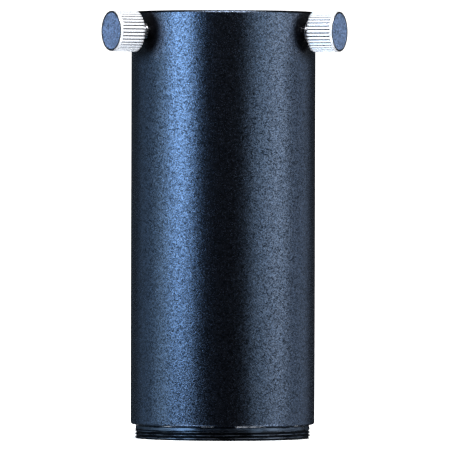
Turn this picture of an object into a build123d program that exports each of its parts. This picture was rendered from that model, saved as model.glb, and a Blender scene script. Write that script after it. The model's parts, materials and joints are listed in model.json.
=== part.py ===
"""Barlow lens: a black tube with an eyepiece socket and two thumbscrews at its upper end,
and a negative achromatic doublet in a cell behind a male camera thread at its lower end.

Frame: millimetres, +Z up along the optical axis, towards the eyepiece. The origin is on that
axis, at the lower end face of the male thread. The two thumbscrews face -Y.
"""

import math
import os

from build123d import *

# ---- Driving dimensions ----
body_diameter = 44.0
body_length = 98.5
thread_major = 41.9          # male M42 x 0.75
thread_pitch = 0.75
thread_stub = 3.3            # end face to body shoulder
thread_relief = 1.05         # plain band and undercut next to the shoulder
tube_bore = 38.0
seat_bore = 39.2             # counterbore at each end of the tube
end_seat_depth = 9.0
socket_depth = 31.0
eyepiece_bore = 31.8         # takes a 31.75 mm barrel
eyepiece_depth = 29.5
slip = 0.03                  # radial gap between fixed pieces that are screwed together

screw_spread = 126.0         # angle between the two thumbscrews
screw_drop = 4.9             # screw axis below the rim
screw_thread = 3.9           # M4 x 0.7
screw_pitch = 0.7
knob_diameter = 9.8
knob_length = 6.6
knob_gap = 1.95              # knob to tube, screw eased off
screw_ease = {-1: 0.25, 1: -0.3}  # how much further out each screw sits than that
knurl_count = 36

# ---- Places worked out from them ----
body_radius = body_diameter / 2
rim_z = thread_stub + body_length
seat_radius = seat_bore / 2
tube_bore_radius = tube_bore / 2
socket_foot_z = rim_z - socket_depth
socket_stop_z = rim_z - eyepiece_depth
end_seat_z = thread_stub + end_seat_depth
screw_z = rim_z - screw_drop
eyepiece_radius = eyepiece_bore / 2
screw_hole_radius = screw_thread / 2 + 0.07


def disc_between(low_z, high_z, outer, inner):
    """A plain turned ring, added to or cut from the part in progress."""
    with BuildSketch(Plane.XY.offset(low_z)) as annulus:
        Circle(outer)
        Circle(inner, mode=Mode.SUBTRACT)
    extrude(annulus.sketch, amount=high_z - low_z)


def sag(radius, aperture):
    """How far a sphere of this radius falls away from its vertex at this aperture."""
    return radius - math.sqrt(radius**2 - aperture**2)


def screw_plane(side, reach=0):
    """A plane square to one thumbscrew's axis, at this distance from the optical axis."""
    angle = -90 + side * screw_spread / 2
    out = Vector(1, 0, 0).rotate(Axis.Z, angle)
    return Plane(origin=out * reach + Vector(0, 0, screw_z), x_dir=(0, 0, 1), z_dir=out)


def cut_screw_holes(inner_reach, outer_reach):
    """Both thumbscrew holes through the part in progress."""
    for side in (-1, 1):
        with BuildSketch(screw_plane(side, inner_reach)) as hole:
            Circle(screw_hole_radius)
        extrude(hole.sketch, amount=outer_reach - inner_reach, mode=Mode.SUBTRACT)


def thread_groove(crest_radius, pitch, low_z, height):
    """A helical V to cut a right-hand ISO thread about the Z axis."""
    depth = 0.5413 * pitch
    mouth = 0.44 * pitch
    root = 0.06 * pitch
    with BuildPart() as groove:
        with BuildLine() as path:
            Helix(pitch=pitch, height=height, radius=crest_radius, center=(0, 0, low_z))
        with BuildSketch(Plane.XZ) as profile:
            with BuildLine():
                Polyline(
                    (crest_radius + 0.05, low_z - mouth),
                    (crest_radius - depth, low_z - root),
                    (crest_radius - depth, low_z + root),
                    (crest_radius + 0.05, low_z + mouth),
                    close=True,
                )
            make_face()
        sweep(sections=profile.sketch, path=path.line, is_frenet=True)
    return groove.part


finished = []


def finish(name, label):
    """Labels a piece and keeps it for export."""
    name.part.label = label
    finished.append(name.part)


# ---- Main tube ----
rim_chamfer = 0.5
foot_fillet = 0.65
seam_chamfer = 0.2
hole_chamfer = 0.3

with BuildPart() as main_tube:
    disc_between(thread_stub, rim_z, body_radius, tube_bore_radius)
    with BuildSketch(Plane.XY.offset(socket_foot_z)):
        Circle(seat_radius)
    extrude(amount=socket_depth, mode=Mode.SUBTRACT)
    with BuildSketch(Plane.XY.offset(thread_stub)):
        Circle(seat_radius)
    extrude(amount=end_seat_depth, mode=Mode.SUBTRACT)
    outer_edges = main_tube.edges().filter_by(GeomType.CIRCLE).sort_by(SortBy.RADIUS)[-2:]
    chamfer(outer_edges.sort_by(Axis.Z)[-1], rim_chamfer)
    outer_edges = main_tube.edges().filter_by(GeomType.CIRCLE).sort_by(Axis.Z).group_by(Axis.Z)[0]
    fillet(outer_edges.sort_by(SortBy.RADIUS)[-1], foot_fillet)
    top_edges = main_tube.edges().filter_by(GeomType.CIRCLE).group_by(Axis.Z)[-1]
    chamfer(top_edges.sort_by(SortBy.RADIUS)[0], seam_chamfer)
    cut_screw_holes(seat_radius - 1, body_radius + 1)
    for side in (-1, 1):
        with BuildSketch(screw_plane(side, body_radius - hole_chamfer)):
            Circle(screw_hole_radius)
        extrude(amount=2 * hole_chamfer, taper=-45, mode=Mode.SUBTRACT)
finish(main_tube, "main_tube")

# ---- Eyepiece socket: a sleeve in the tube's upper seat, with a stop lip and a ring groove ----
stop_lip_radius = 14.0
ring_groove_radius = 17.2
ring_groove_width = 4.4
socket_mouth_chamfer = 0.8
socket_seam_chamfer = 0.2

with BuildPart() as eyepiece_socket:
    disc_between(socket_foot_z, rim_z, seat_radius - slip, eyepiece_radius)
    disc_between(socket_foot_z, socket_stop_z, eyepiece_radius, stop_lip_radius)
    mouth = eyepiece_socket.edges().filter_by(GeomType.CIRCLE).group_by(Axis.Z)[-1]
    chamfer(mouth.sort_by(SortBy.RADIUS)[0], socket_mouth_chamfer)
    rim = eyepiece_socket.edges().filter_by(GeomType.CIRCLE).group_by(Axis.Z)[-1]
    chamfer(rim.sort_by(SortBy.RADIUS)[-1], socket_seam_chamfer)
    with BuildSketch(Plane.XY.offset(screw_z - ring_groove_width / 2)):
        Circle(ring_groove_radius)
    extrude(amount=ring_groove_width, mode=Mode.SUBTRACT)
    cut_screw_holes(ring_groove_radius - 1, seat_radius + 1)
finish(eyepiece_socket, "eyepiece_socket")

# ---- Compression ring: a split brass ring, loose in the groove ----
ring_inner = 15.98
ring_outer = 16.8
ring_width = 4.2
ring_split = 3.0

with BuildPart() as compression_ring:
    ring_low = screw_z - ring_groove_width / 2
    disc_between(ring_low, ring_low + ring_width, ring_outer, ring_inner)
    with BuildSketch(Plane.XY.offset(ring_low)):
        with Locations((0, ring_outer)):
            Rectangle(ring_split, 4)
    extrude(amount=ring_width, mode=Mode.SUBTRACT)
finish(compression_ring, "compression_ring")

# ---- End ring: male camera thread below the shoulder, screwed into the tube above it ----
end_ring_bore = 17.5
thread_radius = thread_major / 2
relief_radius = 20.8
undercut_radius = 20.3
undercut_height = 0.3
end_chamfer = 0.35

with BuildPart() as end_ring:
    disc_between(0, thread_stub - thread_relief, thread_radius, end_ring_bore)
    chamfer(
        end_ring.edges().filter_by(GeomType.CIRCLE).group_by(Axis.Z)[0].sort_by(SortBy.RADIUS)[-1],
        end_chamfer,
    )
    thread_top = thread_stub - thread_relief
    groove = thread_groove(thread_radius, thread_pitch, -thread_pitch, thread_top + 2 * thread_pitch)
    add(groove, mode=Mode.SUBTRACT)
    disc_between(thread_top, thread_stub - undercut_height, relief_radius, end_ring_bore)
    disc_between(thread_stub - undercut_height, thread_stub, undercut_radius, end_ring_bore)
    disc_between(thread_stub, end_seat_z - slip, seat_radius - slip, end_ring_bore)
finish(end_ring, "end_ring")

# ---- Lens cell: drops into the end ring from above and rests on its flange ----
cell_foot_z = 0.4
cell_flange_radius = 18.9
cell_flange_top_z = end_seat_z + 1.2
lens_radius = 15.0
lens_seat_radius = 15.05
cell_aperture = 13.6
retainer_thread = 15.6
retainer_foot_z = 0.7
retainer_top_z = 2.5

# The doublet: a biconcave crown below, a thin air gap, and a meniscus flint above.
lens_flat_rim = 14.2
crown_front_radius = 110.0
shared_radius = 52.0
flint_back_radius = 140.0
crown_centre = 2.2
flint_centre = 3.4
air_gap = 0.2

crown_low_z = retainer_top_z
crown_front_vertex = crown_low_z + sag(crown_front_radius, lens_flat_rim)
crown_back_vertex = crown_front_vertex + crown_centre
crown_high_z = crown_back_vertex + sag(shared_radius, lens_flat_rim)
flint_low_z = crown_high_z + air_gap
flint_front_vertex = crown_back_vertex + air_gap
flint_back_vertex = flint_front_vertex + flint_centre
flint_high_z = flint_back_vertex + sag(flint_back_radius, lens_flat_rim)

with BuildPart() as lens_cell:
    disc_between(cell_foot_z, cell_flange_top_z, end_ring_bore - slip, cell_aperture)
    disc_between(end_seat_z, cell_flange_top_z, cell_flange_radius, end_ring_bore - slip)
    with BuildSketch(Plane.XY.offset(cell_foot_z)):
        Circle(lens_seat_radius)
    extrude(amount=flint_high_z - cell_foot_z, mode=Mode.SUBTRACT)
    with BuildSketch(Plane.XY.offset(cell_foot_z)):
        Circle(retainer_thread)
    extrude(amount=retainer_top_z - cell_foot_z, mode=Mode.SUBTRACT)
finish(lens_cell, "lens_cell")


def lens_element(low_z, low_vertex, high_vertex, high_z, low_radius, high_radius):
    """Revolves a lens from its flat rims and the two arcs between rim and vertex."""
    with BuildSketch(Plane.XZ) as section:
        with BuildLine():
            Polyline((0, high_vertex), (0, low_vertex))
            bulge = lens_flat_rim / 2
            low_mid = low_vertex + math.copysign(sag(low_radius, bulge), low_z - low_vertex)
            ThreePointArc((0, low_vertex), (bulge, low_mid), (lens_flat_rim, low_z))
            Polyline(
                (lens_flat_rim, low_z),
                (lens_radius, low_z),
                (lens_radius, high_z),
                (lens_flat_rim, high_z),
            )
            high_mid = high_vertex + math.copysign(sag(high_radius, bulge), high_z - high_vertex)
            ThreePointArc((lens_flat_rim, high_z), (bulge, high_mid), (0, high_vertex))
        make_face()
    revolve(section.sketch, axis=Axis.Z)


with BuildPart() as crown_element:
    lens_element(
        crown_low_z, crown_front_vertex, crown_back_vertex, crown_high_z,
        crown_front_radius, shared_radius,
    )
finish(crown_element, "crown_element")

with BuildPart() as flint_element:
    lens_element(
        flint_low_z, flint_front_vertex, flint_back_vertex, flint_high_z,
        shared_radius, flint_back_radius,
    )
finish(flint_element, "flint_element")

with BuildPart() as lens_spacer:
    disc_between(crown_high_z, flint_low_z, lens_radius, lens_flat_rim + 0.05)
finish(lens_spacer, "lens_spacer")

# ---- Lens retainer: a threaded ring with two spanner slots ----
retainer_aperture = 13.4
slot_width = 1.6
slot_depth = 0.9

with BuildPart() as lens_retainer:
    disc_between(retainer_foot_z, retainer_top_z, retainer_thread - slip, retainer_aperture)
    slot_reach = retainer_thread + retainer_aperture
    with BuildSketch(Plane.XY.offset(retainer_foot_z)):
        with Locations((slot_reach / 2, 0), (-slot_reach / 2, 0)):
            Rectangle(4, slot_width)
    extrude(amount=slot_depth, mode=Mode.SUBTRACT)
finish(lens_retainer, "lens_retainer")

# ---- Light traps: three matt sleeves stacked between cell and socket, two baffles between them ----
sleeve_outer = tube_bore_radius - 0.1
sleeve_inner = sleeve_outer - 0.9
baffle_thickness = 1.0
stack_low_z = cell_flange_top_z
stack_high_z = socket_foot_z
lower_baffle_z = stack_low_z + 0.36 * (stack_high_z - stack_low_z)
upper_baffle_z = stack_low_z + 0.70 * (stack_high_z - stack_low_z)
lower_baffle_aperture = 12.4
upper_baffle_aperture = 12.9
knife_edge = 0.7

sleeve_spans = {
    "light_sleeve_lower": (stack_low_z, lower_baffle_z),
    "light_sleeve_middle": (lower_baffle_z + baffle_thickness, upper_baffle_z),
    "light_sleeve_upper": (upper_baffle_z + baffle_thickness, stack_high_z),
}
for label, (low_z, high_z) in sleeve_spans.items():
    with BuildPart() as light_sleeve:
        disc_between(low_z, high_z, sleeve_outer, sleeve_inner)
    finish(light_sleeve, label)

baffle_places = {
    "baffle_lower": (lower_baffle_z, lower_baffle_aperture),
    "baffle_upper": (upper_baffle_z, upper_baffle_aperture),
}
for label, (low_z, aperture) in baffle_places.items():
    with BuildPart() as baffle:
        disc_between(low_z, low_z + baffle_thickness, sleeve_outer, aperture)
        top_edges = baffle.edges().filter_by(GeomType.CIRCLE).group_by(Axis.Z)[-1]
        chamfer(top_edges.sort_by(SortBy.RADIUS)[0], knife_edge)
    finish(baffle, label)

# ---- Thumbscrews: knurled knob, end disc, threaded stem, and a loose pad ahead of the stem ----
knob_radius = knob_diameter / 2
knob_reach = body_radius + knob_gap
band_radius = knob_radius - 0.1
band_length = 0.75
disc_radius = 4.55
disc_thickness = 0.8
disc_set_back = 0.1
edge_break = 0.15
knurl_depth = 0.4
knurl_width = 0.56
inner_chamfer = 0.1
stem_radius = screw_thread / 2
stem_in_knob = 4.0
pad_radius = 1.5
pad_length = 2.0
pad_clearance = 0.05
pad_reach = ring_groove_radius + pad_clearance
stem_reach = pad_reach + pad_length
stem_chamfer = 0.3

knob_top = knob_reach + knob_length
knurl_top = knob_top - band_length

# Each piece is modelled once, with the optical axis at the origin and the screw along +Z.
with BuildPart() as knob:
    with BuildSketch(Plane.XY.offset(knob_reach)):
        Circle(knob_radius)
    extrude(amount=knob_length - band_length)
    chamfer(knob.faces().sort_by(Axis.Z)[0].edges(), inner_chamfer)
    with BuildSketch(Plane.XY.offset(knob_reach)):
        with PolarLocations(knob_radius, knurl_count, start_angle=180 / knurl_count):
            Polygon((0.1, -knurl_width / 2), (-knurl_depth, 0), (0.1, knurl_width / 2), align=None)
    extrude(amount=knob_length - band_length, mode=Mode.SUBTRACT)
    with BuildSketch(Plane.XY.offset(knurl_top)):
        Circle(band_radius)
    extrude(amount=band_length)
    chamfer(knob.faces().sort_by(Axis.Z)[-1].edges(), edge_break)
    with BuildSketch(Plane.XY.offset(knob_top - disc_thickness)):
        Circle(disc_radius)
    extrude(amount=disc_thickness, mode=Mode.SUBTRACT)
    with BuildSketch(Plane.XY.offset(knob_reach)):
        Circle(stem_radius + slip)
    extrude(amount=stem_in_knob, mode=Mode.SUBTRACT)

with BuildPart() as knob_disc:
    with BuildSketch(Plane.XY.offset(knob_top - disc_thickness)):
        Circle(disc_radius - slip)
    extrude(amount=disc_thickness - disc_set_back)

with BuildPart() as stem:
    with BuildSketch(Plane.XY.offset(stem_reach)):
        Circle(stem_radius)
    extrude(amount=knob_reach + stem_in_knob - stem_reach)
    chamfer(stem.faces().sort_by(Axis.Z)[0].edges(), stem_chamfer)
    stem_thread = knob_reach - stem_reach + screw_pitch
    add(thread_groove(stem_radius, screw_pitch, stem_reach - screw_pitch, stem_thread), mode=Mode.SUBTRACT)

with BuildPart() as pad:
    with BuildSketch(Plane.XY.offset(pad_reach)):
        Circle(pad_radius)
    extrude(amount=pad_length)

for side, side_name in ((-1, "left"), (1, "right")):
    for piece, piece_name in ((knob, "knob"), (knob_disc, "knob_disc"), (stem, "stem"), (pad, "pad")):
        placed = screw_plane(side, screw_ease[side]).location * piece.part
        placed.label = f"{side_name}_{piece_name}"
        finished.append(placed)

# ---- Export ----
os.makedirs("parts", exist_ok=True)
for piece in finished:
    export_step(piece, f"parts/{piece.label}.step")
print(f"rim at {rim_z:.2f} mm, screw axis at {screw_z:.2f} mm")
print(f"lens stack {crown_low_z:.2f} to {flint_high_z:.2f} mm")
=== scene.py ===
import json
import math

import bmesh
import bpy
from mathutils import Matrix, Vector


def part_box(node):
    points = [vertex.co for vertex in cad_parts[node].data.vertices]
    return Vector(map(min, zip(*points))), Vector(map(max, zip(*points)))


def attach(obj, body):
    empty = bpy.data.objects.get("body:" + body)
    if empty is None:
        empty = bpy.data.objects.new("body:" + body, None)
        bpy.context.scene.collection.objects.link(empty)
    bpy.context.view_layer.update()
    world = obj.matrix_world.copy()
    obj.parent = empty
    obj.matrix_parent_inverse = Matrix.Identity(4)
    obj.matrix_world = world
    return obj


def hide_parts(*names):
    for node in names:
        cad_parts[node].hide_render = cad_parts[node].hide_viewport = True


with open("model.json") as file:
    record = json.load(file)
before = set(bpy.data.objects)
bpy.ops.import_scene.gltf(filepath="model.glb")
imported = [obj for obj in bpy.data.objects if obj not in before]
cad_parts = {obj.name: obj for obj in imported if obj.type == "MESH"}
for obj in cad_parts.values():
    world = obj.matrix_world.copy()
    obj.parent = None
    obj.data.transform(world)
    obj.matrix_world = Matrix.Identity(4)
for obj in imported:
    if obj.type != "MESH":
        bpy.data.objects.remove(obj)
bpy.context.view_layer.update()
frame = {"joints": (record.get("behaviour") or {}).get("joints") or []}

scene = bpy.context.scene
MM = 0.001

# ---------------------------------------------------------------------------
# Sizes, in millimetres. Outer sizes and heights come from the frame; the
# others repeat the part's own.
# ---------------------------------------------------------------------------


def low(node):
    """A node's lowest corner in millimetres."""
    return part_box(node)[0] / MM


def high(node):
    """A node's highest corner in millimetres."""
    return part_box(node)[1] / MM


rim_z = high("main_tube").z
shoulder_z = low("main_tube").z
body_radius = high("main_tube").y
bore_radius = 19.0
seat_radius = 19.6
cell_shoulder = 12.0            # from the lens cell's foot up to its flange
cell_seat_z = low("lens_cell").z + cell_shoulder
socket_foot_z = low("eyepiece_socket").z
socket_radius = high("eyepiece_socket").y
eyepiece_radius = 15.9
eyepiece_depth = 29.5
socket_stop_z = rim_z - eyepiece_depth
stop_lip_radius = 14.0
ring_groove_radius = 17.2
ring_groove_width = 4.4
screw_drop = 4.9                # from the rim down to the screw axes
screw_z = rim_z - screw_drop
screw_hole_radius = 2.02
# Places along a screw's axis are measured from the optical axis.
knob_reach = 23.95
knob_length = 6.6
knob_outer = knob_reach + knob_length
knob_radius = 4.9
disc_radius = 4.52
stem_radius = 1.95
stem_low = 19.25
stem_high = 27.95
pad_low = 17.25
pad_radius = 1.5
# How much further out each thumbscrew sits than knob_reach.
EASE = {"left": 0.25, "right": -0.3}


# ---------------------------------------------------------------------------
# Mesh helpers
# ---------------------------------------------------------------------------


def add_object(name, verts, faces, sharp=32.0):
    """A smooth-shaded mesh object from millimetre vertices."""
    mesh = bpy.data.meshes.new(name)
    mesh.from_pydata([(x * MM, y * MM, z * MM) for x, y, z in verts], [], faces)
    shape = bmesh.new()
    shape.from_mesh(mesh)
    bmesh.ops.remove_doubles(shape, verts=shape.verts, dist=1e-7)
    bmesh.ops.dissolve_degenerate(shape, edges=shape.edges, dist=1e-8)
    bmesh.ops.recalc_face_normals(shape, faces=shape.faces)
    shape.to_mesh(mesh)
    shape.free()
    obj = bpy.data.objects.new(name, mesh)
    scene.collection.objects.link(obj)
    smooth(obj, sharp)
    return obj


def smooth(obj, sharp=32.0):
    """Smooth shading, broken at edges sharper than this many degrees."""
    mesh = obj.data
    mesh.polygons.foreach_set("use_smooth", [True] * len(mesh.polygons))
    mesh.set_sharp_from_angle(angle=math.radians(sharp))


def rounded(points, steps=5):
    """A closed profile from (r, z) or (r, z, rounding radius) corners."""
    out = []
    count = len(points)
    for i, point in enumerate(points):
        here = Vector(point[:2])
        radius = point[2] if len(point) > 2 else 0
        if not radius:
            out.append((here.x, here.y))
            continue
        back = (Vector(points[i - 1][:2]) - here).normalized()
        on = (Vector(points[(i + 1) % count][:2]) - here).normalized()
        half = back.angle(on) / 2
        reach = radius / math.tan(half)
        centre = here + (back + on).normalized() * (radius / math.sin(half))
        first = here + back * reach - centre
        last = here + on * reach - centre
        turn = first.angle_signed(last)
        for k in range(steps + 1):
            spun = first.copy()
            spun.rotate(Matrix.Rotation(-turn * k / steps, 2))
            out.append((centre.x + spun.x, centre.y + spun.y))
    return out


def turned_points(profile, angle):
    """The (r, z) points of a profile at this angle round the Z axis."""
    c, s = math.cos(angle), math.sin(angle)
    return [(r * c, r * s, z) for r, z in profile]


def ring_points(profile, segments):
    """The points of a profile at equal steps all the way round."""
    points = []
    for k in range(segments):
        points += turned_points(profile, 2 * math.pi * k / segments)
    return points


def strip(a, b, count):
    """Quads between two open columns of points, which start at vertices a and b."""
    return [(a + i, b + i, b + i + 1, a + i + 1) for i in range(count - 1)]


def closed_strip(a, b, count):
    """Quads between two closed columns of points, which start at vertices a and b."""
    return [(a + i, b + i, b + (i + 1) % count, a + (i + 1) % count) for i in range(count)]


def lathe(name, profile, segments=256):
    """Turns a closed (r, z) profile round the Z axis."""
    n = len(profile)
    faces = []
    for k in range(segments):
        faces += closed_strip(k * n, (k + 1) % segments * n, n)
    return add_object(name, ring_points(profile, segments), faces)


def revolved(name, profile, segments):
    """Turns a profile that starts and ends on the Z axis into a closed solid."""
    body = profile[1:-1]
    n = len(body)
    verts = [(0, 0, profile[0][1]), (0, 0, profile[-1][1])] + ring_points(body, segments)
    faces = []
    for k in range(segments):
        a, b = 2 + k * n, 2 + (k + 1) % segments * n
        faces.append((0, b, a))
        faces += strip(a, b, n)
        faces.append((a + n - 1, b + n - 1, 1))
    return add_object(name, verts, faces)


def turned_solid(name, corners, segments=128):
    """A solid of revolution from corners that may be rounded."""
    return revolved(name, rounded(corners, 4), segments)


def cylinder(radius, start, end):
    """The corners of a plain cylinder between two places on its axis."""
    return [(0, start), (radius, start), (radius, end), (0, end)]


def screw_axis(side_name):
    """The direction a thumbscrew points, away from the tube."""
    turn = next(j for j in frame["joints"] if j["name"] == f"{side_name}_screw_turn")
    return Vector(turn["axis"]).normalized()


def screw_frame(side_name, ease=0.0):
    """Row-frame matrix of a screw axis: local Z points outwards, local X up."""
    out = screw_axis(side_name)
    up = Vector((0, 0, 1))
    across = out.cross(up)
    rotation = Matrix((up, across, out)).transposed().to_4x4()
    return Matrix.Translation(out * ease * MM + up * screw_z * MM) @ rotation


def carve(obj, cutters):
    """Cuts the other objects out of this one, and removes them."""
    for cutter in cutters:
        modifier = obj.modifiers.new("cut", "BOOLEAN")
        modifier.operation = "DIFFERENCE"
        modifier.solver = "EXACT"
        modifier.object = cutter
    graph = bpy.context.evaluated_depsgraph_get()
    mesh = bpy.data.meshes.new_from_object(obj.evaluated_get(graph))
    obj.modifiers.clear()
    obj.data = mesh
    for cutter in cutters:
        bpy.data.objects.remove(cutter)
    smooth(obj)


def screw_hole_cutters(corners):
    """The same round cutter on both screw axes."""
    cutters = []
    for side_name in EASE:
        cutter = turned_solid("cutter", corners, 64)
        cutter.data.transform(screw_frame(side_name))
        cutters.append(cutter)
    return cutters


def threaded(crest, pitch, low_z, high_z, limit, segments):
    """Skin of a helical thread between two heights, inside limit(z)."""
    iso_depth = 0.5413
    # One turn's flanks: (fraction of the pitch, depth below the crest).
    steps = [(0.06, 0.0), (0.44, iso_depth * pitch), (0.56, iso_depth * pitch), (0.94, 0.0)]
    # Turns past both ends are flattened onto them, so that every column has the same points.
    spare = 2
    turns = int((high_z - low_z) / pitch) + 2 * spare
    rows = turns * len(steps)
    verts = []
    for k in range(segments):
        share = k / segments
        column = []
        for turn in range(-spare, turns - spare):
            for at, below in steps:
                z = min(max(low_z + pitch * (share + turn + at), low_z), high_z)
                column.append((min(crest - below, limit(z)), z))
        verts += turned_points(column, 2 * math.pi * share)
    faces = []
    for k in range(segments - 1):
        faces += strip(k * rows, (k + 1) * rows, rows)
    # The last column meets the first one turn further up.
    faces += strip((segments - 1) * rows, len(steps), rows - len(steps))
    return verts, faces, rows


# ---------------------------------------------------------------------------
# Materials
# ---------------------------------------------------------------------------


class Shader:
    """A Principled material with its nodes added one call at a time."""

    def __init__(self, name, **values):
        self.material = bpy.data.materials.new(name)
        self.material.use_nodes = True
        self.nodes = self.material.node_tree.nodes
        self.links = self.material.node_tree.links
        self.surface = self.nodes["Principled BSDF"]
        for key, value in values.items():
            self.surface.inputs[key.replace("_", " ")].default_value = value
        self.coords = self.nodes.new("ShaderNodeTexCoord").outputs["Object"]

    def stretched(self, scale):
        """Object coordinates scaled per axis."""
        node = self.nodes.new("ShaderNodeMapping")
        node.inputs["Scale"].default_value = scale
        self.links.new(self.coords, node.inputs["Vector"])
        return node.outputs["Vector"]

    def noise(self, scale, detail=2.0, rough=0.5, vector=None):
        """Smooth noise, mostly between 0.3 and 0.7."""
        node = self.nodes.new("ShaderNodeTexNoise")
        node.inputs["Scale"].default_value = scale
        node.inputs["Detail"].default_value = detail
        node.inputs["Roughness"].default_value = rough
        self.links.new(vector or self.coords, node.inputs["Vector"])
        return node.outputs["Fac"]

    def spread(self, value, low_out, high_out, low_in=0.3, high_in=0.7):
        """Maps low_in..high_in to low_out..high_out, and stops there."""
        node = self.nodes.new("ShaderNodeMapRange")
        node.inputs["From Min"].default_value = low_in
        node.inputs["From Max"].default_value = high_in
        node.inputs["To Min"].default_value = low_out
        node.inputs["To Max"].default_value = high_out
        self.links.new(value, node.inputs["Value"])
        return node.outputs["Result"]

    def mix(self, factor, a, b):
        """Colour a at factor 0, b at factor 1; each is a colour or a socket."""
        node = self.nodes.new("ShaderNodeMix")
        node.data_type = "RGBA"
        for key, value in ((0, factor), (6, a), (7, b)):
            if isinstance(value, bpy.types.NodeSocket):
                self.links.new(value, node.inputs[key])
            else:
                node.inputs[key].default_value = value if key == 0 else (*value, 1)
        return node.outputs[2]

    def bump(self, height, distance):
        """The normal of a surface that rises this many metres per unit of height."""
        node = self.nodes.new("ShaderNodeBump")
        node.inputs["Distance"].default_value = distance
        node.inputs["Strength"].default_value = 1.0
        self.links.new(height, node.inputs["Height"])
        return node.outputs["Normal"]

    def dimples(self, scale):
        """Two random values per dimple."""
        node = self.nodes.new("ShaderNodeTexVoronoi")
        node.inputs["Scale"].default_value = scale
        self.links.new(self.coords, node.inputs["Vector"])
        split = self.nodes.new("ShaderNodeSeparateColor")
        self.links.new(node.outputs["Color"], split.inputs["Color"])
        return split.outputs["Red"], split.outputs["Green"]

    def vector(self, operation, a, b=None):
        """Vector maths on a socket and, where it takes one, a constant vector."""
        node = self.nodes.new("ShaderNodeVectorMath")
        node.operation = operation
        self.links.new(a, node.inputs[0])
        if b is not None:
            node.inputs[1].default_value = b
        return node.outputs["Value" if operation in ("LENGTH", "DOT_PRODUCT") else "Vector"]

    def screw_shadow_mask(self, side_name):
        """Mask of a painted shadow: 1 on the wall right under a thumbscrew's head, fading to 0
        beyond it.
        """
        out = screw_axis(side_name)
        offset = self.vector("SUBTRACT", self.coords, (0, 0, screw_z * MM))
        away = self.vector("LENGTH", self.vector("CROSS_PRODUCT", offset, out))
        facing = self.mask(self.vector("DOT_PRODUCT", offset, out), 0.0, 2 * MM)
        near = self.mask(away, (knob_radius + 3.3) * MM, (knob_radius + 0.3) * MM)
        return self.times(near, facing)

    def axial(self):
        """Height along the optical axis, in metres."""
        node = self.nodes.new("ShaderNodeSeparateXYZ")
        self.links.new(self.coords, node.inputs[0])
        return node.outputs["Z"]

    def radial(self):
        """Distance from the optical axis, in metres."""
        return self.vector("LENGTH", self.vector("MULTIPLY", self.coords, (1, 1, 0)))

    def mask(self, value, start, end):
        """0 at start rising to 1 at end."""
        return self.spread(value, 0.0, 1.0, start, end)

    def times(self, a, b):
        """The product of two sockets."""
        node = self.nodes.new("ShaderNodeMath")
        node.operation = "MULTIPLY"
        self.links.new(a, node.inputs[0])
        self.links.new(b, node.inputs[1])
        return node.outputs["Value"]

    def to(self, **sockets):
        """Links sockets to the shader's own, named as Base_Color for Base Color."""
        for key, value in sockets.items():
            self.links.new(value, self.surface.inputs[key.replace("_", " ")])


# Colour of the painted shadow under the thumbscrews' heads.
PAINTED_SCREW_SHADOW = (0.012, 0.013, 0.018)
# Colour of the painted highlight along the tube's foot.
FOOT_HIGHLIGHT_COLOUR = (0.7, 0.72, 0.76)


def anodised(
    name, dark, light, roughness, grain, depth, metallic=1.0,
    tint=(1, 1, 1), edge=None, screw_shadow=False,
):
    """
    Bead-blasted anodised aluminium: each dimple has its own tone, gloss and height.

    grain is dimples per metre and depth is in metres. tint is how far a dimple's light
    tone may drift. Below edge, a height in metres, a painted highlight lies in broken patches.
    A shaded wall is darker under the thumbscrews' heads.
    """
    shader = Shader(name, Metallic=metallic)
    fine = shader.noise(grain, 2.0, 0.6)
    tone, hue = shader.dimples(grain)
    other = [channel * change for channel, change in zip(light, tint)]
    colour = shader.mix(tone, dark, shader.mix(hue, light, other))
    if screw_shadow:
        # Painted shadow: the wall's colour darkens under each thumbscrew's head.
        for side_name in EASE:
            colour = shader.mix(shader.screw_shadow_mask(side_name), colour, PAINTED_SCREW_SHADOW)
    # Painted highlight: a bright band along the foot, broken into patches.
    if edge is not None:
        foot_band = shader.mask(shader.axial(), edge, edge - 0.06 * MM)
        broken = shader.mask(shader.noise(260), 0.5, 0.66)
        foot_highlight = shader.times(foot_band, broken)
        colour = shader.mix(foot_highlight, colour, FOOT_HIGHLIGHT_COLOUR)
        shader.to(Metallic=shader.spread(foot_highlight, 1.0, 0.0, 0.0, 1.0))
    shader.to(
        Base_Color=colour,
        Roughness=shader.spread(fine, roughness - 0.06, roughness + 0.08),
        Normal=shader.bump(fine, depth),
    )
    return shader.material


def machined_thread(name, dark, bright, crest):
    """Black turned metal, worn bright in streaks near its crest radius, in metres; the streaks
    are also a painted highlight on the crests.
    """
    shader = Shader(name)
    streaks = shader.noise(1.0, 3.0, 0.6, shader.stretched((260, 260, 2400)))
    # Worn crests, also standing in for the crests' streaky highlights: partly a painted
    # highlight.
    crest_wear_and_highlight = shader.mask(shader.radial(), crest - 0.15 * MM, crest - 0.04 * MM)
    crest_wear_and_highlight = shader.times(crest_wear_and_highlight, shader.spread(streaks, 0.1, 1.0, 0.4, 0.62))
    shader.to(
        Base_Color=shader.mix(crest_wear_and_highlight, dark, bright),
        Metallic=shader.spread(crest_wear_and_highlight, 0.97, 1.0, 0.0, 1.0),
        Roughness=shader.spread(streaks, 0.2, 0.36),
        Normal=shader.bump(streaks, 1.2e-5),
    )
    return shader.material


def turned(name, base, roughness, metallic=1.0):
    """Lathe-turned metal: fine rings round the optical axis."""
    shader = Shader(name, Metallic=metallic)
    rings = shader.noise(1.0, 2.0, 0.6, shader.stretched((60, 60, 2600)))
    broad = shader.noise(300)
    tone = shader.mix(shader.spread(broad, 0.0, 1.0), [c * 0.9 for c in base], base)
    shader.to(
        Base_Color=tone,
        Roughness=shader.spread(rings, roughness - 0.05, roughness + 0.07),
        Normal=shader.bump(rings, 4e-6),
    )
    return shader.material


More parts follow.
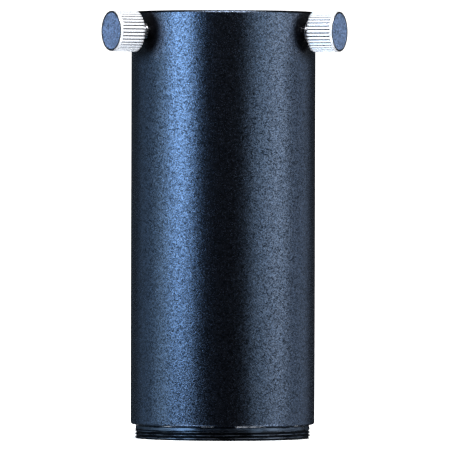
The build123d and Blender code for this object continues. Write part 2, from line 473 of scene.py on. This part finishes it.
def mottled(name, roughness, dark, light, patches, span, grain):
    """A dull surface between two tones, over this span of the noise, with a fine grain."""
    shader = Shader(name, Roughness=roughness)
    shader.to(
        Base_Color=shader.mix(shader.mask(shader.noise(patches), *span), dark, light),
        Normal=shader.bump(shader.noise(grain), 1e-5),
    )
    return shader.material


THREAD_CREST = high("end_ring").y * MM

# The body has a painted highlight along its foot and a painted shadow under each thumbscrew.
body_black = anodised(
    "body_black", (0.013, 0.018, 0.026), (0.2, 0.262, 0.382), 0.22, 4300, 4.6e-5,
    tint=(1.12, 1.0, 0.88), edge=(shoulder_z + 0.11) * MM, screw_shadow=True,
)
# Bare bright metal for the right screw hole's flared mouth: partly a painted highlight.
bare_flare_highlight = turned("bare_flare_highlight", (0.78, 0.79, 0.82), 0.3, 0.4)
socket_black = turned("socket_black", (0.05, 0.058, 0.07), 0.3, 0.8)
thread_black = machined_thread(
    "thread_black", (0.012, 0.014, 0.018), (0.32, 0.37, 0.46), THREAD_CREST
)
# The band takes a lighter copy of the thread's black: painted light where the band is lit.
thread_band_lit = machined_thread(
    "thread_band_lit", (0.05, 0.065, 0.09), (0.17, 0.21, 0.27), THREAD_CREST - 0.1 * MM
)
matt_black = anodised(
    "matt_black", (0.012, 0.012, 0.013), (0.03, 0.03, 0.032), 0.62, 2600, 2.2e-5
)
brass = turned("brass", (0.82, 0.6, 0.27), 0.24)
spacer_metal = turned("spacer_metal", (0.6, 0.6, 0.62), 0.35)
pad_nylon = mottled(
    "pad_nylon", 0.5, (0.8, 0.79, 0.74), (0.87, 0.86, 0.82), 900, (0.0, 1.0), 3000
)
# Black edge ink for the lenses' rims; on the knobs it also marks the disc's seam and paints
# the shadow at the grooves' outer ends.
edge_ink_and_shadow = mottled(
    "edge_ink_and_shadow", 0.7, (0.01, 0.01, 0.01), (0.028, 0.028, 0.03), 1500, (0.3, 0.7), 2500
)
knurl_silver = anodised(
    "knurl_silver", (0.72, 0.72, 0.74), (0.9, 0.9, 0.91), 0.24, 3500, 8e-6, metallic=0.6
)
# Painted shade: a much darker copy of the knurl's silver for the groove floors.
knurl_groove_shade = anodised(
    "knurl_groove_shade", (0.07, 0.07, 0.08), (0.18, 0.18, 0.195), 0.4, 3500, 8e-6, metallic=0.6
)
disc_blue_grey = anodised(
    "disc_blue_grey", (0.004, 0.01, 0.022), (0.071, 0.13, 0.24), 0.5, 3500, 2.4e-5,
    metallic=0.0, tint=(1.2, 0.95, 0.95),
)
disc_bevel = anodised("disc_bevel", (0.006, 0.012, 0.03), (0.02, 0.035, 0.07), 0.4, 3300, 8e-6)
stem_steel = turned("stem_steel", (0.6, 0.6, 0.62), 0.24)


def coated_glass(name, tint, sheen):
    """Clear glass with a faint tint and the coloured reflection of a coating."""
    shader = Shader(
        name,
        Transmission_Weight=1.0,
        IOR=1.52,
        Coat_Weight=0.35,
        Coat_IOR=1.7,
        Coat_Roughness=0.02,
        Coat_Tint=(*sheen, 1),
    )
    haze = shader.noise(220)
    shader.to(
        Base_Color=shader.mix(haze, tint, [min(1, channel * 1.03) for channel in tint]),
        Roughness=shader.spread(haze, 0.0, 0.015),
    )
    return shader.material


crown_glass = coated_glass("crown_glass", (0.94, 0.97, 0.95), (0.35, 0.8, 0.5))
flint_glass = coated_glass("flint_glass", (0.95, 0.96, 0.92), (0.55, 0.4, 0.85))


def paint(obj, *materials):
    """Gives a mesh its materials; every face starts with the first one."""
    obj.data.materials.clear()
    for material in materials:
        obj.data.materials.append(material)


def place(obj, body, node):
    """Finishes a piece: the body it rides on and the node it stands for."""
    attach(obj, body)
    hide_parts(node)


# ---------------------------------------------------------------------------
# Main tube and eyepiece socket
# ---------------------------------------------------------------------------

rim_chamfer = 0.5
seat_chamfer = 0.15
mouth_chamfer = 0.8
foot_rounding = 0.65
flare_depth = 0.3               # of the screw holes' flared mouths
past_wall = 1.0                 # how far their cutters stand out of the wall


def tube_shell():
    """The outer tube, with a seat at each end and the flared screw holes."""
    corners = [
        (body_radius, rim_z - rim_chamfer, 0.12),
        (body_radius - rim_chamfer, rim_z, 0.1),
        (seat_radius + seat_chamfer, rim_z, 0.06),
        (seat_radius, rim_z - seat_chamfer, 0.06),
        (seat_radius, socket_foot_z, 0.1),
        (bore_radius, socket_foot_z, 0.15),
        (bore_radius, cell_seat_z, 0.15),
        (seat_radius, cell_seat_z, 0.1),
        (seat_radius, shoulder_z, 0.1),
        (body_radius, shoulder_z, foot_rounding),
    ]
    tube = lathe("tube_shell", rounded(corners, 6), 512)
    inside = bore_radius - 2
    flared = [
        (0, inside),
        (screw_hole_radius, inside),
        (screw_hole_radius, body_radius - flare_depth),
        (screw_hole_radius + flare_depth + past_wall, body_radius + past_wall),
        (0, body_radius + past_wall),
    ]
    carve(tube, screw_hole_cutters(flared))
    return tube


def on_flare(face, to_screw):
    """Whether a face of the tube lies on the flared mouth of this screw's hole."""
    spot = to_screw @ face.center / MM
    normal = to_screw.to_3x3() @ face.normal
    sideways = Vector((spot.x, spot.y, 0))
    if spot.z < bore_radius + 1 or sideways.length > screw_hole_radius + 0.58:
        return False
    return normal.dot(sideways.normalized()) < -0.4 and normal.z > 0.3


tube = tube_shell()
paint(tube, body_black, bare_flare_highlight)
place(tube, "main_body", "main_tube")
# Only the right hole's flared mouth is bare metal; the left one keeps the wall's colour, so
# this bright mouth is also a painted highlight.
to_right_screw = screw_frame("right").inverted()
for face in tube.data.polygons:
    if on_flare(face, to_right_screw):
        face.material_index = 1


def eyepiece_sleeve():
    """The socket, with a chamfered mouth, the ring's groove and the stop lip."""
    groove_top = screw_z + ring_groove_width / 2
    groove_foot = screw_z - ring_groove_width / 2
    corners = [
        (eyepiece_radius + mouth_chamfer, rim_z, 0.1),
        (eyepiece_radius, rim_z - mouth_chamfer, 0.15),
        (eyepiece_radius, groove_top, 0.06),
        (ring_groove_radius, groove_top),
        (ring_groove_radius, groove_foot),
        (eyepiece_radius, groove_foot, 0.06),
        (eyepiece_radius, socket_stop_z),
        (stop_lip_radius, socket_stop_z, 0.12),
        (stop_lip_radius, socket_foot_z, 0.12),
        (socket_radius, socket_foot_z, 0.1),
        (socket_radius, rim_z - seat_chamfer, 0.06),
        (socket_radius - seat_chamfer, rim_z, 0.06),
    ]
    socket = lathe("eyepiece_sleeve", rounded(corners, 5), 320)
    # The screw holes' cutters start inside the groove and end outside the socket.
    inside, outside = 16.5, 20.5
    carve(socket, screw_hole_cutters(cylinder(screw_hole_radius, inside, outside)))
    return socket


socket = eyepiece_sleeve()
paint(socket, socket_black)
place(socket, "main_body", "eyepiece_socket")

# ---------------------------------------------------------------------------
# End ring with its helical thread
# ---------------------------------------------------------------------------

thread_crest = high("end_ring").y
thread_pitch = 0.75
lead_chamfer = 0.35
thread_top = shoulder_z - 1.05
undercut_z = shoulder_z - 0.3
ring_bore = 17.5
relief_radius = 20.8
undercut_radius = 20.3


def end_ring_limit(z):
    """Chamfer at the thread's leading end."""
    return thread_crest - max(0.0, lead_chamfer - z)


def end_ring_piece():
    """Thread outside, then band, undercut, neck and bore in one closed skin."""
    segments = 256
    verts, faces, rows = threaded(
        thread_crest, thread_pitch, 0.0, thread_top, end_ring_limit, segments
    )
    corners = [
        (relief_radius, thread_top, 0.05),
        (relief_radius, undercut_z, 0.08),
        (undercut_radius, undercut_z),
        (undercut_radius, shoulder_z),
        (socket_radius, shoulder_z),
        (socket_radius, high("end_ring").z, 0.15),
        (ring_bore, high("end_ring").z, 0.15),
        (ring_bore, 0.0, 0.25),
    ]
    inner = rounded(corners, 4)
    base = len(verts)
    verts += ring_points(inner, segments)
    n = len(inner)
    for k in range(segments):
        beside = (k + 1) % segments
        a, b = base + k * n, base + beside * n
        faces += strip(a, b, n)
        faces.append((k * rows + rows - 1, beside * rows + rows - 1, b, a))
        faces.append((a + n - 1, b + n - 1, beside * rows, k * rows))
    return add_object("end_ring_thread", verts, faces, 28)


end_ring = end_ring_piece()
paint(end_ring, thread_black, thread_band_lit)
place(end_ring, "main_body", "end_ring")
# The band's faces take the lighter, painted-lit copy of the black.
for face in end_ring.data.polygons:
    spot = face.center / MM
    outside = spot.xy.length > undercut_radius + 0.2
    if outside and thread_top + 0.02 < spot.z < undercut_z + 0.02:
        face.material_index = 1

# ---------------------------------------------------------------------------
# Compression ring
# ---------------------------------------------------------------------------


def split_ring():
    """A brass band with a gap at +Y and rounded edges."""
    thickness = 0.82
    half_gap = 1.5
    segments = 180
    ring_low = low("compression_ring").z
    ring_high = high("compression_ring").z
    outer = -low("compression_ring").y
    inner = outer - thickness
    corners = [
        (outer, ring_low, 0.12),
        (outer, ring_high, 0.12),
        (inner, ring_high, 0.2),
        (inner, ring_low, 0.2),
    ]
    profile = rounded(corners, 4)
    n = len(profile)
    gap = math.asin(half_gap / outer)
    verts, faces = [], []
    for k in range(segments + 1):
        angle = math.pi / 2 + gap + (2 * math.pi - 2 * gap) * k / segments
        verts += turned_points(profile, angle)
    for k in range(segments):
        faces += closed_strip(k * n, (k + 1) * n, n)
    faces.append(tuple(range(n)))
    faces.append(tuple(segments * n + i for i in reversed(range(n))))
    return add_object("split_ring", verts, faces)


compression_ring = split_ring()
paint(compression_ring, brass)
place(compression_ring, "main_body", "compression_ring")

# ---------------------------------------------------------------------------
# Lens cell, retainer and doublet
# ---------------------------------------------------------------------------

cell_low = low("lens_cell").z
cell_high = high("lens_cell").z
cell_radius = 17.47
cell_aperture = 13.6
lens_seat_radius = 15.05
retainer_seat_radius = 15.6
flange_radius = high("lens_cell").y
lens_seat_top = high("flint_element").z
retainer_low = low("lens_retainer").z
retainer_high = high("lens_retainer").z


def lens_cell():
    """The flanged cell, with the lenses' seat and the retainer's."""
    corners = [
        (cell_radius, cell_low, 0.2),
        (cell_radius, cell_seat_z, 0.1),
        (flange_radius, cell_seat_z, 0.1),
        (flange_radius, cell_high, 0.15),
        (cell_aperture + 0.8, cell_high, 0.2),
        (cell_aperture, lens_seat_top + 1.6, 0.1),
        (cell_aperture, lens_seat_top),
        (lens_seat_radius, lens_seat_top),
        (lens_seat_radius, retainer_high),
        (retainer_seat_radius, retainer_high),
        (retainer_seat_radius, cell_low, 0.15),
    ]
    return lathe("lens_cell_body", rounded(corners, 4))


def retaining_ring():
    """The ring under the lenses, with two spanner slots."""
    outer = retainer_seat_radius - 0.03
    aperture = 13.4
    slot_half_width = 0.8
    slot_half_length = 2.5
    slot_reach = 14.5
    slot_overlap = 0.1
    corners = [
        (outer, retainer_low, 0.12),
        (outer, retainer_high, 0.08),
        (aperture, retainer_high, 0.08),
        (aperture + 0.5, retainer_low, 0.1),
    ]
    ring = lathe("retaining_ring", rounded(corners, 4))
    slots = []
    for side in (-1, 1):
        # Four segments make a square bar, which is turned, widened and laid along X.
        slot = turned_solid(
            "cutter", cylinder(slot_half_width, -slot_half_length, slot_half_length), 4
        )
        slot.data.transform(Matrix.Rotation(math.pi / 4, 4, "Z"))
        slot.data.transform(Matrix.Diagonal((math.sqrt(2), math.sqrt(2), 1, 1)))
        slot.data.transform(Matrix.Rotation(math.pi / 2, 4, "Y"))
        spot = Vector((side * slot_reach, 0, retainer_low + slot_overlap)) * MM
        slot.data.transform(Matrix.Translation(spot))
        slots.append(slot)
    carve(ring, slots)
    return ring


cell = lens_cell()
paint(cell, matt_black)
place(cell, "main_body", "lens_cell")
retainer = retaining_ring()
paint(retainer, matt_black)
place(retainer, "main_body", "lens_retainer")


def sag(radius, aperture):
    """Depth of a spherical surface across this half-width."""
    return radius - math.sqrt(radius**2 - aperture**2)


def lens(name, node, low_radius, high_radius, low_sign, glass):
    """A lens in its node's box, hollow above, and below hollow (1) or bulging (-1)."""
    clear = 14.2                # the flat ground rim starts here
    bevel = 0.12
    rings = 24
    edge = high(node).x
    low_rim, high_rim = low(node).z, high(node).z
    if low_sign < 0:
        low_rim += sag(low_radius, clear)
    profile = []
    for k in range(rings + 1):
        r = clear * k / rings
        step = sag(low_radius, clear) - sag(low_radius, r)
        profile.append((r, low_rim + low_sign * step))
    profile += [(edge - bevel, low_rim), (edge, low_rim + bevel)]
    profile += [(edge, high_rim - bevel), (edge - bevel, high_rim)]
    for k in range(rings, -1, -1):
        r = clear * k / rings
        step = sag(high_radius, clear) - sag(high_radius, r)
        profile.append((r, high_rim - step))
    obj = revolved(name, profile, 160)
    paint(obj, glass, edge_ink_and_shadow)
    for face in obj.data.polygons:
        if (face.center / MM).xy.length > clear + 0.05:
            face.material_index = 1
    place(obj, "main_body", node)


lens("crown_lens", "crown_element", 110.0, 52.0, 1, crown_glass)
lens("flint_lens", "flint_element", 52.0, 140.0, -1, flint_glass)

spacer_outer = 15.0
spacer_inner = 14.25
spacer_low, spacer_high = low("lens_spacer").z, high("lens_spacer").z
spacer_corners = [
    (spacer_outer, spacer_low, 0.04),
    (spacer_outer, spacer_high, 0.04),
    (spacer_inner, spacer_high, 0.04),
    (spacer_inner, spacer_low, 0.04),
]
spacer = lathe("lens_spacer_ring", rounded(spacer_corners, 3), 160)
paint(spacer, spacer_metal)
place(spacer, "main_body", "lens_spacer")

# ---------------------------------------------------------------------------
# Light-trap sleeves and baffles
# ---------------------------------------------------------------------------


def ridged_sleeve(name, node):
    """A sleeve whose bore is cut with V ridges between two plain lips."""
    wall = 0.9
    lip = 0.8
    ridge_pitch = 0.8
    ridge_depth = 0.42
    bottom, top, outer = low(node).z, high(node).z, high(node).y
    inner = outer - wall
    span = top - bottom - 2 * lip
    count = int(span / ridge_pitch)
    pitch = span / count
    ridges = []
    for k in range(count):
        z = top - lip - k * pitch
        ridges += [(inner, z), (inner + ridge_depth, z - pitch * 0.5)]
    ridges.append((inner, bottom + lip))
    profile = [(outer, bottom), (outer, top), (inner, top), *ridges, (inner, bottom)]
    return lathe(name, profile, 128)


def knife_edge(name, node, aperture):
    """A flat baffle, sharp at its aperture."""
    bottom, top, outer = low(node).z, high(node).z, high(node).y
    corners = [
        (outer, bottom, 0.05),
        (outer, top, 0.05),
        (aperture + 0.7, top, 0.1),
        (aperture, bottom + 0.25),
        (aperture, bottom),
    ]
    return lathe(name, rounded(corners, 3), 192)


for level in ("lower", "middle", "upper"):
    sleeve = ridged_sleeve(f"ridged_sleeve_{level}", f"light_sleeve_{level}")
    paint(sleeve, matt_black)
    place(sleeve, "main_body", f"light_sleeve_{level}")

for level, aperture in (("lower", 12.4), ("upper", 12.9)):
    baffle = knife_edge(f"knife_edge_{level}", f"baffle_{level}", aperture)
    paint(baffle, matt_black)
    place(baffle, "main_body", f"baffle_{level}")

# ---------------------------------------------------------------------------
# Thumbscrews
# ---------------------------------------------------------------------------

KNURLS = 36
STEPS_PER_KNURL = 14
KNURL_DEPTH = 0.4
GROOVE_SHARE = 0.62             # of the pitch, taken up by each groove
LAND_CROWN = 0.03
band_start = knob_outer - 0.75  # where the grooves give way to a plain band
recess_floor = knob_outer - 0.8
disc_bevel_radius = disc_radius - 0.22
stem_tip_chamfer = 0.3
slack = 0.03                    # between pieces that are pressed together


def knurl_radius(angle):
    """Radius of the straight-knurled rim: slightly crowned lands between grooves."""
    share = (angle * KNURLS / (2 * math.pi)) % 1.0
    off = abs(share - 0.5) * 2
    groove = max(0.0, 1 - off / GROOVE_SHARE)
    groove = groove * groove * (3 - 2 * groove)
    crown = LAND_CROWN * max(0.0, 0.95 - max(off, GROOVE_SHARE))
    return knob_radius - max(crown, 0.005) - KNURL_DEPTH * groove


def knob_rows():
    """The rim's (place, inset) rows: first the grooved ones, then the plain band and lip."""
    grooved = [(knob_reach, 0.12), (knob_reach + 0.04, 0.05), (knob_reach + 0.1, 0.0)]
    first, last = knob_reach + 0.1, band_start - 0.4
    grooved += [(first + (last - first) * k / 9, 0.0) for k in range(1, 10)]
    grooved.append((band_start - 0.06, 0.0))
    lip_inset = 0.11
    lip_radius = 0.16
    lip_start = knob_outer - 0.17
    band = [(band_start + 0.02, 0.08), (band_start + 0.1, 0.1), (knob_outer - 0.24, lip_inset)]
    for k in range(1, 6):
        turn = math.pi / 2 * k / 5
        reach = lip_start + lip_radius * math.sin(turn)
        band.append((reach, lip_inset + lip_radius * (1 - math.cos(turn))))
    return grooved, band


def knob_mesh(name):
    """Knurled rim, smooth band, rounded lip, and a recess for the end disc."""
    segments = KNURLS * STEPS_PER_KNURL
    stem_hole = stem_radius + slack
    recess = disc_radius + slack
    grooved, band = knob_rows()
    inside = [
        (recess, knob_outer - 0.05),
        (recess, recess_floor),
        (stem_hole, recess_floor),
        (stem_hole, knob_reach),
    ]
    verts = []
    for k in range(segments):
        angle = 2 * math.pi * (k + 0.5) / segments
        column = [(knurl_radius(angle) - inset, z) for z, inset in grooved]
        column += [(knob_radius - inset, z) for z, inset in band] + inside
        verts += turned_points(column, angle)
    n = len(column)
    faces = []
    for k in range(segments):
        faces += closed_strip(k * n, (k + 1) % segments * n, n)
    return add_object(name, verts, faces, 40)


def knob_face(spot):
    """Which of the knob's materials a face takes: silver 0, painted groove shade 1, near black
    2 at the disc's seam and, as a painted shadow, at the grooves' outer ends.
    """
    r = spot.xy.length
    over_recess = stem_radius + slack + 0.05 < r < disc_radius + 0.1
    if over_recess and spot.z > recess_floor - 0.02 or spot.z > knob_outer - 0.1:
        return 2
    # Groove floors take the painted shade; near the band their outer ends take a near-black
    # painted shadow.
    in_groove = knob_radius - KNURL_DEPTH - 0.05 < r < knob_radius - 0.13
    if in_groove and knob_reach + 0.05 < spot.z < band_start:
        return 2 if spot.z > band_start - 0.4 else 1
    return 0


def end_disc(name):
    """The disc let into the knob's end, with a bevelled edge."""
    radius = disc_radius - 0.05
    top = knob_outer - 0.1
    corners = [
        (0, recess_floor),
        (radius, recess_floor, 0.05),
        (radius, top - 0.06, 0.05),
        (disc_bevel_radius, top, 0.03),
        (0, top),
    ]
    return turned_solid(name, corners)


def stem_limit(z):
    """Chamfered tip of the stem."""
    return stem_radius - max(0.0, stem_tip_chamfer - (z - stem_low))


def stem_mesh(name):
    """Threaded stem, closed at both ends, plain where it is held in the knob."""
    segments = 96
    plain_low = knob_reach + 0.3
    plain_high = stem_high - 0.1
    verts, faces, rows = threaded(
        stem_radius, 0.7, stem_low, plain_low, stem_limit, segments
    )
    base = len(verts)
    verts += ring_points([(stem_radius, plain_low), (stem_radius, plain_high)], segments)
    verts += [(0, 0, stem_low), (0, 0, plain_high)]
    tip, head = len(verts) - 2, len(verts) - 1
    for k in range(segments):
        beside = (k + 1) % segments
        a, b = base + k * 2, base + beside * 2
        faces.append((k * rows + rows - 1, beside * rows + rows - 1, b, a))
        faces.append((a, b, b + 1, a + 1))
        faces.append((a + 1, b + 1, head))
        faces.append((tip, beside * rows, k * rows))
    return add_object(name, verts, faces, 28)


def thrust_pad(name):
    """The plain pad ahead of the stem, rounded where it pushes."""
    corners = [
        (0, pad_low), (pad_radius, pad_low, 0.3), (pad_radius, stem_low, 0.15), (0, stem_low),
    ]
    return turned_solid(name, corners, 64)


def thumbscrew(side_name):
    """One thumbscrew's four pieces, made on local Z and then moved to their axis."""
    knob = knob_mesh(f"{side_name}_knurled_knob")
    paint(knob, knurl_silver, knurl_groove_shade, edge_ink_and_shadow)
    for face in knob.data.polygons:
        face.material_index = knob_face(face.center / MM)
    disc = end_disc(f"{side_name}_end_disc")
    paint(disc, disc_blue_grey, disc_bevel)
    for face in disc.data.polygons:
        if (face.center / MM).xy.length > disc_bevel_radius:
            face.material_index = 1
    stem = stem_mesh(f"{side_name}_threaded_stem")
    paint(stem, stem_steel)
    pad = thrust_pad(f"{side_name}_thrust_pad")
    paint(pad, pad_nylon)
    for piece in (knob, disc, stem, pad):
        piece.data.transform(screw_frame(side_name, EASE[side_name]))
    place(knob, f"{side_name}_screw", f"{side_name}_knob")
    place(disc, f"{side_name}_screw", f"{side_name}_knob_disc")
    place(stem, f"{side_name}_screw", f"{side_name}_stem")
    place(pad, f"{side_name}_pad_body", f"{side_name}_pad")


for side_name in EASE:
    thumbscrew(side_name)

# ---------------------------------------------------------------------------
# Floor, light and camera, in metres
# ---------------------------------------------------------------------------

floor_half = 40.0
floor_corners = [
    (x * floor_half, y * floor_half, 0) for x, y in ((-1, -1), (1, -1), (1, 1), (-1, 1))
]
floor = bpy.data.objects.new("floor", bpy.data.meshes.new("floor"))
floor.data.from_pydata(floor_corners, [], [(0, 1, 2, 3)])
scene.collection.objects.link(floor)
floor_shader = Shader("floor_paper", Roughness=0.95)
floor_shader.to(
    Base_Color=floor_shader.mix(floor_shader.noise(40), (0.91, 0.91, 0.92), (0.93, 0.93, 0.94))
)
floor.data.materials.append(floor_shader.material)
# Mirrored and shadow rays miss the floor, so lamps below it still reach the part's foot.
floor.visible_glossy = False
floor.visible_shadow = False

lamp_aim_height = 0.05
camera_side = math.radians(-3.0)
toward = Vector((math.sin(camera_side), -math.cos(camera_side), 0))
across = Vector((math.cos(camera_side), math.sin(camera_side), 0))


def softbox(name, bearing, distance, height, width, tall, power, colour):
    """A softbox that faces the tube, at a bearing in degrees right of the camera."""
    light = bpy.data.lights.new(name, "AREA")
    light.shape = "RECTANGLE"
    light.size, light.size_y = width, tall
    light.energy = power
    light.color = colour
    lamp = bpy.data.objects.new(name, light)
    turn = math.radians(bearing)
    outward = toward * math.cos(turn) + across * math.sin(turn)
    lamp.location = outward * distance + Vector((0, 0, height))
    aim = Vector((0, 0, lamp_aim_height)) - lamp.location
    lamp.rotation_euler = aim.to_track_quat("-Z", "Y").to_euler()
    lamp.visible_camera = False
    scene.collection.objects.link(lamp)


# Name, bearing, distance, height, width, tall, watts and colour.
softbox("key_left", -55, 1.0, 0.37, 0.52, 0.9, 6.7, (0.47, 0.71, 1.0))
softbox("wing_left", -82, 1.0, -0.3, 0.36, 2.0, 2.4, (0.6, 0.82, 1.0))
softbox("side_left", -112, 1.0, -0.3, 0.7, 2.0, 1.35, (0.53, 0.76, 1.0))
softbox("rim_left", -150, 1.0, -0.3, 0.45, 2.0, 0.17, (0.53, 0.78, 1.0))
softbox("near_right", 47, 1.0, 0.25, 0.32, 0.9, 0.92, (0.71, 0.87, 1.0))
softbox("key_right", 73, 1.0, 0.25, 0.46, 0.9, 1.9, (0.83, 0.92, 1.0))
softbox("side_right", 112, 1.0, -0.3, 0.8, 2.0, 2.4, (0.73, 0.85, 1.0))
softbox("rim_right", 150, 1.0, -0.3, 0.45, 2.0, 0.12, (0.6, 0.8, 1.0))
softbox("foot_left", -52, 1.0, -0.8, 0.6, 0.8, 5.0, (0.6, 0.78, 1.0))
softbox("foot_right", 70, 1.0, -0.8, 0.6, 0.8, 4.0, (0.85, 0.92, 1.0))
softbox("overhead", 10, 0.5, 1.1, 0.9, 0.6, 24.0, (1.0, 1.0, 1.0))

# The surroundings light the scene white, but gloss mirrors a much darker room.
world = bpy.data.worlds.new("studio")
scene.world = world
world.use_nodes = True
nodes, links = world.node_tree.nodes, world.node_tree.links
rays = nodes.new("ShaderNodeLightPath")
seen = nodes["Background"]
seen.inputs["Color"].default_value = (1, 1, 1, 1)
seen.inputs["Strength"].default_value = 1.6
mirrored = nodes.new("ShaderNodeBackground")
mirrored.inputs["Color"].default_value = (1.0, 0.8, 0.8, 1)
mirrored.inputs["Strength"].default_value = 0.011
choose = nodes.new("ShaderNodeMixShader")
links.new(rays.outputs["Is Glossy Ray"], choose.inputs["Fac"])
links.new(seen.outputs["Background"], choose.inputs[1])
links.new(mirrored.outputs["Background"], choose.inputs[2])
links.new(choose.outputs["Shader"], nodes["World Output"].inputs["Surface"])

camera_distance = 1.7
camera_height = 0.062
aim_height = 0.0509
aim_aside = 0.00047
camera_roll = math.radians(0.15)
camera_data = bpy.data.cameras.new("camera")
camera_data.sensor_width = 36
camera_data.lens = 569.3
camera_data.clip_start, camera_data.clip_end = 0.1, 100
camera = bpy.data.objects.new("camera", camera_data)
camera.location = toward * camera_distance + Vector((0, 0, camera_height))
target = Vector((0, 0, aim_height)) + across * aim_aside
look = (target - camera.location).to_track_quat("-Z", "Y").to_matrix().to_4x4()
roll = Matrix.Rotation(camera_roll, 4, "Z")
camera.matrix_world = Matrix.Translation(camera.location) @ look @ roll
scene.collection.objects.link(camera)
scene.camera = camera

scene.view_settings.view_transform = "Standard"
scene.view_settings.look = "None"
